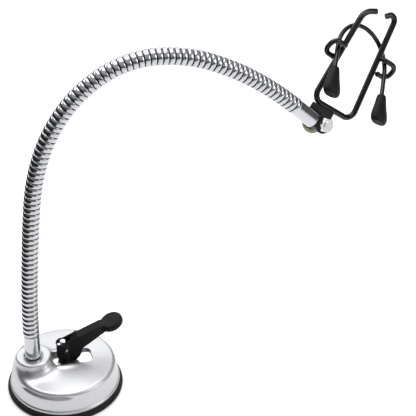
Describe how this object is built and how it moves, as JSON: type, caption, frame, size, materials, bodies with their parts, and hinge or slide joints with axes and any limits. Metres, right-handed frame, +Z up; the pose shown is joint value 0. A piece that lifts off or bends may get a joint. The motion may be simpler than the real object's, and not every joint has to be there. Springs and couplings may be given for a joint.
{
  "type": "helping hands clamp",
  "caption": "Gooseneck helping hand with a lever-locked suction base, a swivelling knuckle and a hooked wire cradle with a rubber-tipped bail.",
  "frame": {"origin": "centre of the suction pad's sealing face", "axes": "+Z up out of the surface it is stuck to, +X from the neck's boss towards the lever, +Y away from the side the nut is on"},
  "size_m": [0.4232, 0.1225, 0.3772],
  "materials": {
    "pad_rubber": "matte",
    "silver_casting": "satin",
    "bright_steel": "bright",
    "lever_plastic": "satin",
    "chrome": "polished",
    "neck_chrome": "polished",
    "black_sheet": "satin",
    "yellow_zinc": "satin",
    "wire_coating": "gloss",
    "tip_rubber": "matte"
  },
  "bodies": {
    "base": {"suction_pad": "pad_rubber", "base_housing": "silver_casting", "cam_plate": "bright_steel"},
    "lever": {"lever": "lever_plastic", "lever_pivot_pin": "bright_steel"},
    "stem": {"pull_stem": "bright_steel", "release_spring": "bright_steel"},
    "neck_foot": {"lower_ferrule": "chrome"},
    "neck_01": {"neck_01": "neck_chrome"},
    "neck_02": {"neck_02": "neck_chrome"},
    "neck_03": {"neck_03": "neck_chrome"},
    "neck_04": {"neck_04": "neck_chrome"},
    "neck_05": {"neck_05": "neck_chrome"},
    "neck_06": {"neck_06": "neck_chrome"},
    "neck_07": {"neck_07": "neck_chrome"},
    "neck_08": {"neck_08": "neck_chrome"},
    "neck_09": {"neck_09": "neck_chrome"},
    "neck_10": {"neck_10": "neck_chrome"},
    "knuckle": {"upper_ferrule": "chrome", "knuckle_block": "black_sheet", "knuckle_disc": "yellow_zinc", "spacer_washer": "bright_steel", "pivot_bolt": "bright_steel", "hex_nut": "bright_steel"},
    "cradle": {"cradle_wire": "wire_coating", "head_bracket": "black_sheet", "eye_left": "wire_coating", "eye_right": "wire_coating"},
    "bail": {"bail_wire": "wire_coating", "tip_left": "tip_rubber", "tip_right": "tip_rubber"}
  },
  "joints": [
    {"name": "lever_lift", "type": "hinge", "parent": "base", "child": "lever", "pos_m": [0.0024, 0, 0.047], "axis": [0, -1, 0], "range_deg": [0, 65]},
    {"name": "stem_drop", "type": "slide", "parent": "base", "child": "stem", "axis": [0, 0, -1], "range_m": [0, 0.0025], "deforming": ["release_spring"]},
    {"name": "neck_swivel", "type": "hinge", "parent": "base", "child": "neck_foot", "pos_m": [-0.031, 0, 0.03], "axis": [0, 0, 1], "range_deg": [-90, 90]},
    {"name": "neck_bend_00", "type": "hinge", "parent": "neck_foot", "child": "neck_01", "pos_m": [-0.031, 0, 0.076], "axis": [0, 1, 0], "range_deg": [-5, 2]},
    {"name": "neck_bend_01", "type": "hinge", "parent": "neck_01", "child": "neck_02", "pos_m": [-0.02879, 0, 0.12765], "axis": [0, 1, 0], "range_deg": [-5, 2]},
    {"name": "neck_bend_02", "type": "hinge", "parent": "neck_02", "child": "neck_03", "pos_m": [-0.02482, 0, 0.17919], "axis": [0, 1, 0], "range_deg": [-5, 2]},
    {"name": "neck_bend_03", "type": "hinge", "parent": "neck_03", "child": "neck_04", "pos_m": [-0.01946, 0, 0.23061], "axis": [0, 1, 0], "range_deg": [-5, 2]},
    {"name": "neck_bend_04", "type": "hinge", "parent": "neck_04", "child": "neck_05", "pos_m": [-0.00755, 0, 0.28081], "axis": [0, 1, 0], "range_deg": [-8, 3]},
    {"name": "neck_bend_05", "type": "hinge", "parent": "neck_05", "child": "neck_06", "pos_m": [0.01725, 0, 0.32593], "axis": [0, 1, 0], "range_deg": [-8, 3]},
    {"name": "neck_bend_06", "type": "hinge", "parent": "neck_06", "child": "neck_07", "pos_m": [0.0568, 0, 0.35859], "axis": [0, 1, 0], "range_deg": [-8, 3]},
    {"name": "neck_bend_07", "type": "hinge", "parent": "neck_07", "child": "neck_08", "pos_m": [0.10688, 0, 0.36837], "axis": [0, 1, 0], "range_deg": [-8, 3]},
    {"name": "neck_bend_08", "type": "hinge", "parent": "neck_08", "child": "neck_09", "pos_m": [0.15645, 0, 0.35471], "axis": [0, 1, 0], "range_deg": [-8, 6]},
    {"name": "neck_bend_09", "type": "hinge", "parent": "neck_09", "child": "neck_10", "pos_m": [0.20053, 0, 0.32786], "axis": [0, 1, 0], "range_deg": [-8, 6]},
    {"name": "neck_bend_10", "type": "hinge", "parent": "neck_10", "child": "knuckle", "pos_m": [0.2394, 0, 0.29384], "axis": [0, 1, 0], "range_deg": [-8, 6]},
    {"name": "head_tilt", "type": "hinge", "parent": "knuckle", "child": "cradle", "pos_m": [0.26665, 0.0009, 0.26944], "axis": [0.2556, -0.9336, 0.2512], "range_deg": [-30, 30]},
    {"name": "bail_swing", "type": "hinge", "parent": "cradle", "child": "bail", "pos_m": [0.31907, 0.03408, 0.31326], "axis": [0.8236, 0.1537, -0.546], "range_deg": [-30, 0]}
  ],
  "couplings": [
    {"joint": "stem_drop", "follows": "lever_lift", "m_per_rad": 0.002204},
    {"joint": "neck_bend_01", "follows": "neck_bend_00", "ratio": 1},
    {"joint": "neck_bend_02", "follows": "neck_bend_00", "ratio": 1},
    {"joint": "neck_bend_03", "follows": "neck_bend_00", "ratio": 1},
    {"joint": "neck_bend_05", "follows": "neck_bend_04", "ratio": 1},
    {"joint": "neck_bend_06", "follows": "neck_bend_04", "ratio": 1},
    {"joint": "neck_bend_07", "follows": "neck_bend_04", "ratio": 1},
    {"joint": "neck_bend_09", "follows": "neck_bend_08", "ratio": 1},
    {"joint": "neck_bend_10", "follows": "neck_bend_08", "ratio": 1}
  ]
}
